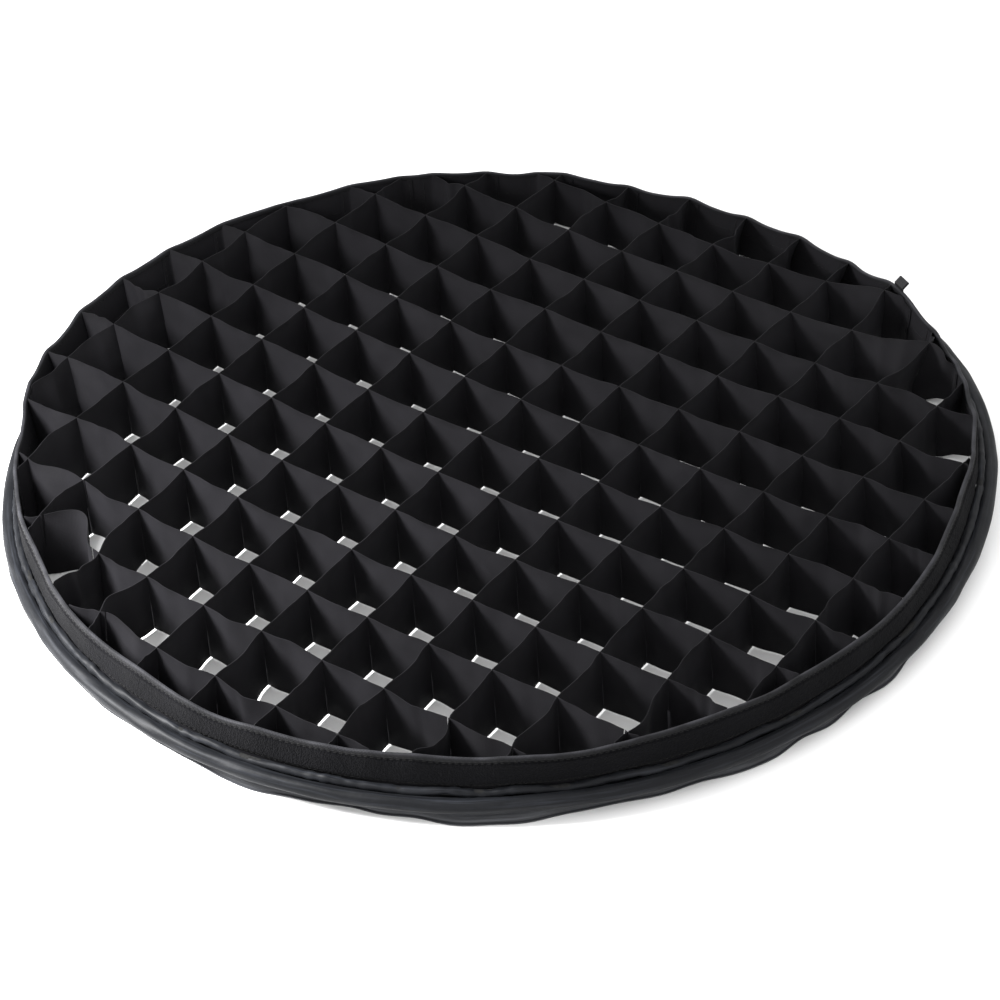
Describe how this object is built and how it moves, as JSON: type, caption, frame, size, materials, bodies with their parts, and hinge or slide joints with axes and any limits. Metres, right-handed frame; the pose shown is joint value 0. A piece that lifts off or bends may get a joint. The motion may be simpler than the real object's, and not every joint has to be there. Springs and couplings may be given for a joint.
{
  "type": "round softbox egg-crate grid",
  "caption": "Round soft egg-crate grid: crossed fabric strips form square cells inside a collar with hook tape and a sprung round rim.",
  "frame": {"origin": "centre of the round rim on the plane it rests on", "axes": "+Z along the light axis towards the softbox, +X and +Y along the two families of strips"},
  "size_m": [0.7025, 0.7026, 0.0547],
  "materials": {
    "grid_fabric": "black tightly woven polyester, slight sheen",
    "collar_fabric": "black tightly woven polyester",
    "binding_tape": "narrow woven tape, soft sheen",
    "hook_tape": "matt black hook tape, fuzzy",
    "satin": "black satin with bright sheen, gathered",
    "cord": "twisted filler cord",
    "spring_steel": "oiled spring steel wire",
    "ferrule_metal": "crimped brass tube",
    "thread": "polyester thread bar",
    "webbing": "folded woven webbing"
  },
  "bodies": {
    "grid": {"strip_x_01": "grid_fabric", "strip_x_02": "grid_fabric", "strip_x_03": "grid_fabric", "strip_x_04": "grid_fabric", "strip_x_05": "grid_fabric", "strip_x_06": "grid_fabric", "strip_x_07": "grid_fabric", "strip_x_08": "grid_fabric", "strip_x_09": "grid_fabric", "strip_x_10": "grid_fabric", "strip_x_11": "grid_fabric", "strip_x_12": "grid_fabric", "strip_x_13": "grid_fabric", "strip_y_01": "grid_fabric", "strip_y_02": "grid_fabric", "strip_y_03": "grid_fabric", "strip_y_04": "grid_fabric", "strip_y_05": "grid_fabric", "strip_y_06": "grid_fabric", "strip_y_07": "grid_fabric", "strip_y_08": "grid_fabric", "strip_y_09": "grid_fabric", "strip_y_10": "grid_fabric", "strip_y_11": "grid_fabric", "strip_y_12": "grid_fabric", "strip_y_13": "grid_fabric", "collar": "collar_fabric", "top_binding": "binding_tape", "hook_tape": "hook_tape", "piping_cover": "satin", "piping_cord": "cord", "hoop_sleeve": "satin", "spring_hoop": "spring_steel", "hoop_ferrule": "ferrule_metal", "hem_skirt": "satin", "tab_root": "thread"},
    "tab": {"pull_tab": "webbing"}
  },
  "joints": [
    {"name": "tab_flip", "type": "hinge", "parent": "grid", "child": "tab", "pos_m": [0.15821, 0.29755, 0.0483], "axis": [0.8829, -0.4695, 0], "range_deg": [-55, 130]}
  ]
}
